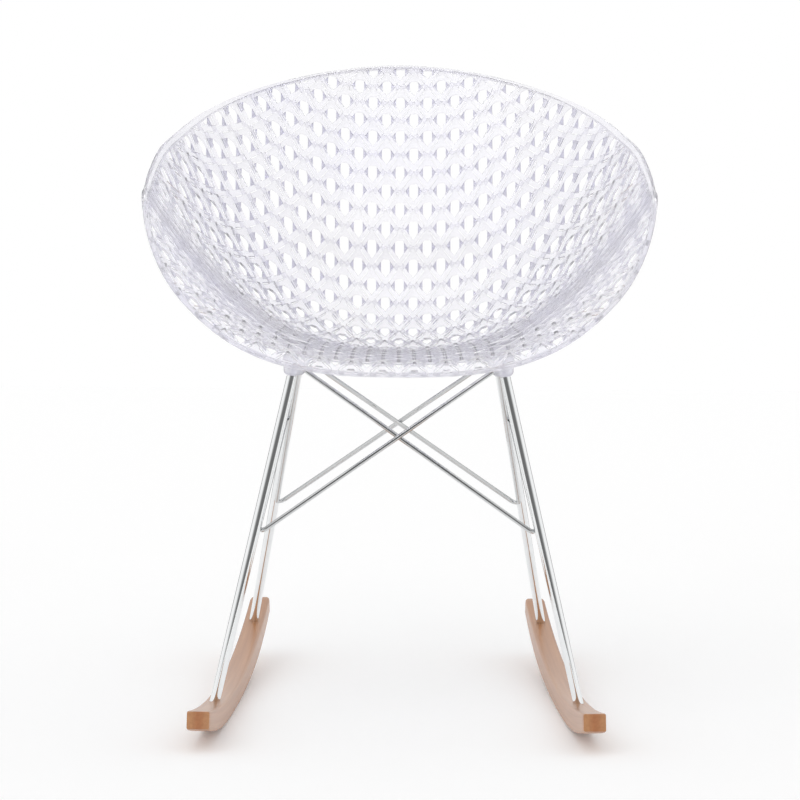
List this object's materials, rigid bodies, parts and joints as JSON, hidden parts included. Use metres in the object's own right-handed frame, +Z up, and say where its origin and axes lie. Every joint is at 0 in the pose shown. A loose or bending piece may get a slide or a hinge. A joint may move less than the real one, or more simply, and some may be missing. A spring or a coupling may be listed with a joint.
{
  "type": "moulded plastic rocking chair",
  "caption": "Rocking armchair with a clear lattice bucket shell on round bosses, splayed chromed legs, thin crossed brace rods and bent wooden rockers.",
  "frame": {"origin": "on the floor, under the middle of the bounding box", "axes": "+Z up, +X to the right-hand side seen from the front, -Y the way the sitter faces"},
  "size_m": [0.59, 0.7052, 0.775],
  "materials": {
    "shell_plastic": "clear moulded, glossy, faintly lavender",
    "boss_plastic": "clear moulded, glossy",
    "leg_chrome": "polished",
    "brace_chrome": "polished",
    "rocker_wood": "satin, light brown"
  },
  "bodies": {
    "root": {"seat_shell": "shell_plastic", "rocker_left": "rocker_wood", "rocker_right": "rocker_wood", "leg_front_left": "leg_chrome", "leg_front_right": "leg_chrome", "leg_rear_left": "leg_chrome", "leg_rear_right": "leg_chrome", "brace_front_left": "brace_chrome", "brace_front_right": "brace_chrome", "brace_rear_left": "brace_chrome", "brace_rear_right": "brace_chrome", "boss_front_left": "boss_plastic", "boss_front_right": "boss_plastic", "boss_rear_left": "boss_plastic", "boss_rear_right": "boss_plastic"}
  },
  "joints": []
}
